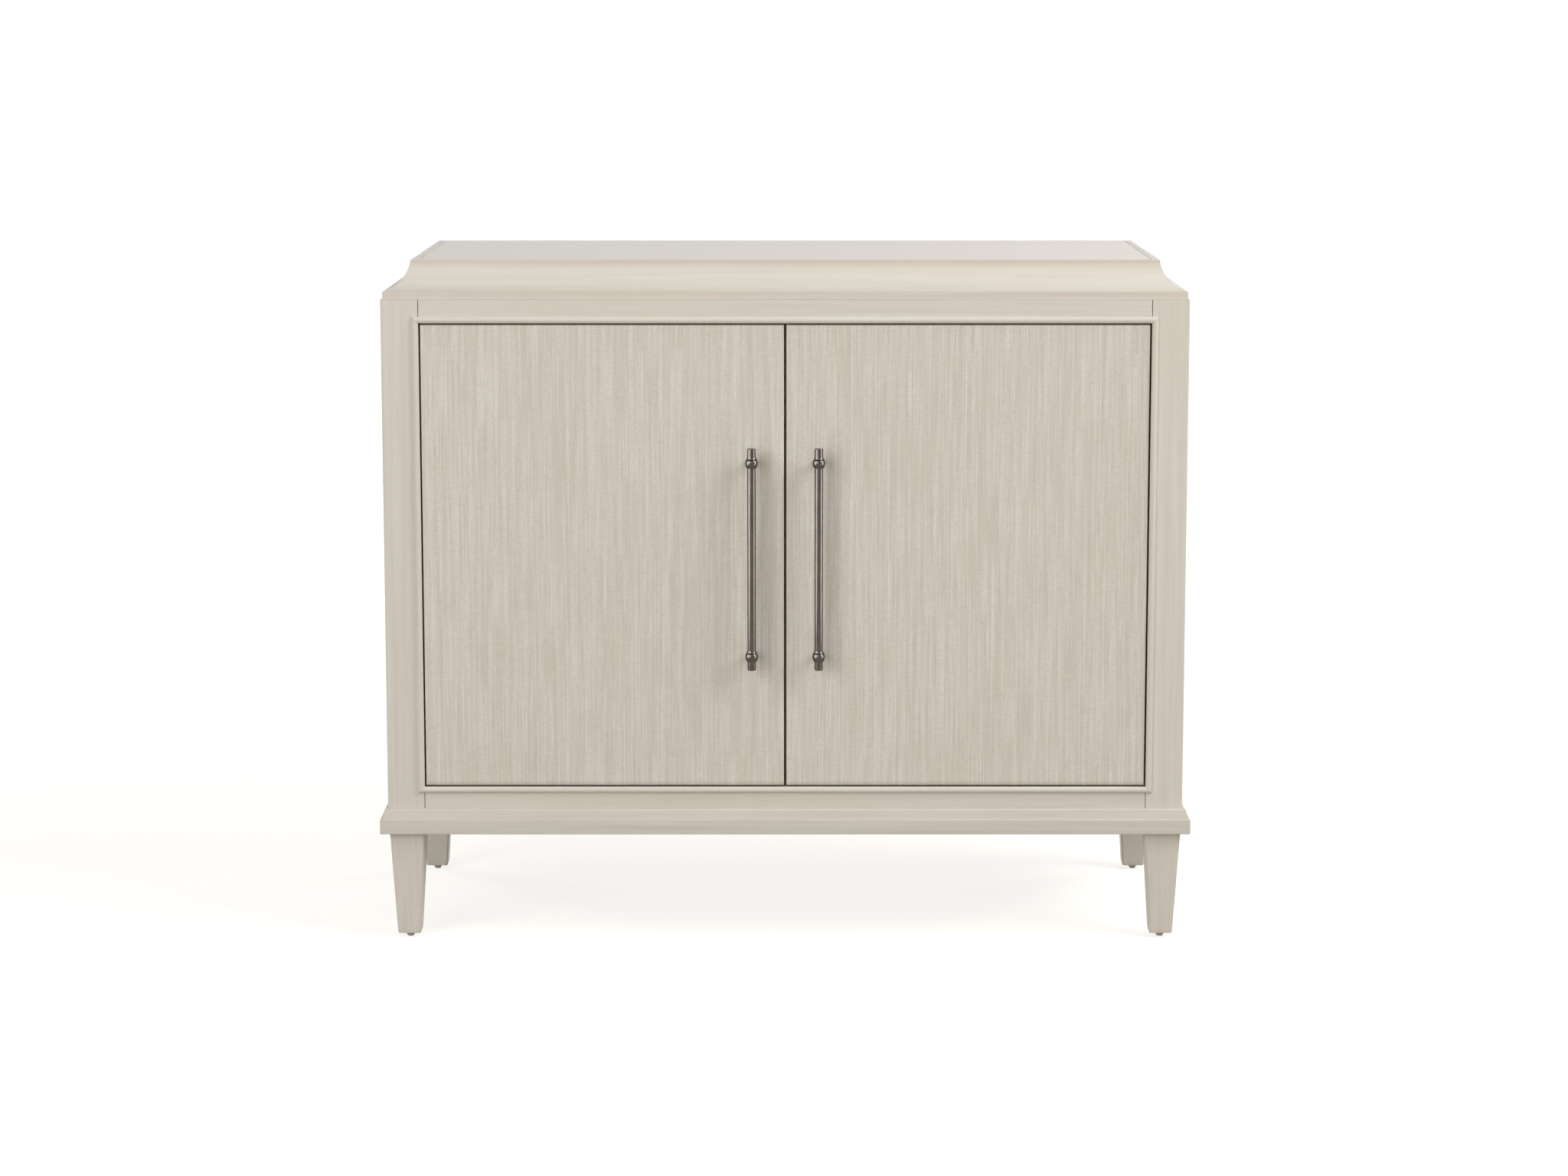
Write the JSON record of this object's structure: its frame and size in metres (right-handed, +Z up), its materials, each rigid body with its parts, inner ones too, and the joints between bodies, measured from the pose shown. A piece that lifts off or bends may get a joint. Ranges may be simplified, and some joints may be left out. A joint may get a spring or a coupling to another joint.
{
  "type": "hall chest",
  "caption": "Low hall chest with a coved top, bead-framed doors faced in woven raffia, bar pulls, a stepped base and tapered legs; the doors swing open on shelves.",
  "frame": {"origin": "on the floor, at the middle of the plan of the whole chest with its pulls", "axes": "+X to the right along the width as seen from the front, +Y from the front to the back, +Z up"},
  "size_m": [1.1178, 0.5082, 0.94],
  "materials": {
    "limed_wood": "grey-washed limed wood, satin lacquer",
    "inside_wood": "grey-washed wood veneer, matt",
    "raffia": "woven raffia, painted grey-beige",
    "pewter": "polished pewter plate",
    "hinge_steel": "nickel-plated pressed steel",
    "glide_plastic": "moulded nylon",
    "bumper": "clear soft rubber"
  },
  "bodies": {
    "case": {"back_batten": "inside_wood", "back_bottom_rail": "inside_wood", "back_panel": "inside_wood", "back_top_rail": "inside_wood", "band_front": "limed_wood", "band_left": "limed_wood", "band_right": "limed_wood", "base_moulding_front": "limed_wood", "base_moulding_left": "limed_wood", "base_moulding_right": "limed_wood", "bead_bottom": "limed_wood", "bead_left": "limed_wood", "bead_right": "limed_wood", "bead_top": "limed_wood", "bottom_rail": "limed_wood", "case_top": "inside_wood", "cove_front": "limed_wood", "cove_left": "limed_wood", "cove_right": "limed_wood", "deck": "inside_wood", "deck_cleats": "inside_wood", "door_bumpers": "bumper", "front_post_left": "limed_wood", "front_post_right": "limed_wood", "hinge_arms_left": "hinge_steel", "hinge_arms_right": "hinge_steel", "hinge_plates_left": "hinge_steel", "hinge_plates_right": "hinge_steel", "leg_glides": "glide_plastic", "partition": "inside_wood", "rear_post_left": "limed_wood", "rear_post_right": "limed_wood", "shelf_left": "inside_wood", "shelf_pegs": "hinge_steel", "shelf_right": "inside_wood", "side_left": "limed_wood", "side_right": "limed_wood", "top_battens": "inside_wood", "top_panel": "limed_wood", "top_rail": "limed_wood"},
    "left_door": {"door_left": "limed_wood", "door_weave_left": "raffia", "hinge_cups_left": "hinge_steel", "hinge_pins_left": "hinge_steel", "pull_bar_left": "pewter", "pull_posts_left": "pewter"},
    "right_door": {"door_right": "limed_wood", "door_weave_right": "raffia", "hinge_cups_right": "hinge_steel", "hinge_pins_right": "hinge_steel", "pull_bar_right": "pewter", "pull_posts_right": "pewter"}
  },
  "joints": [
    {"name": "left_door_swing", "type": "hinge", "parent": "case", "child": "left_door", "pos_m": [-0.4815, -0.20997, 0.5368], "axis": [0, 0, -1], "range_deg": [0, 105]},
    {"name": "right_door_swing", "type": "hinge", "parent": "case", "child": "right_door", "pos_m": [0.4815, -0.20997, 0.5368], "axis": [0, 0, 1], "range_deg": [0, 105]}
  ]
}
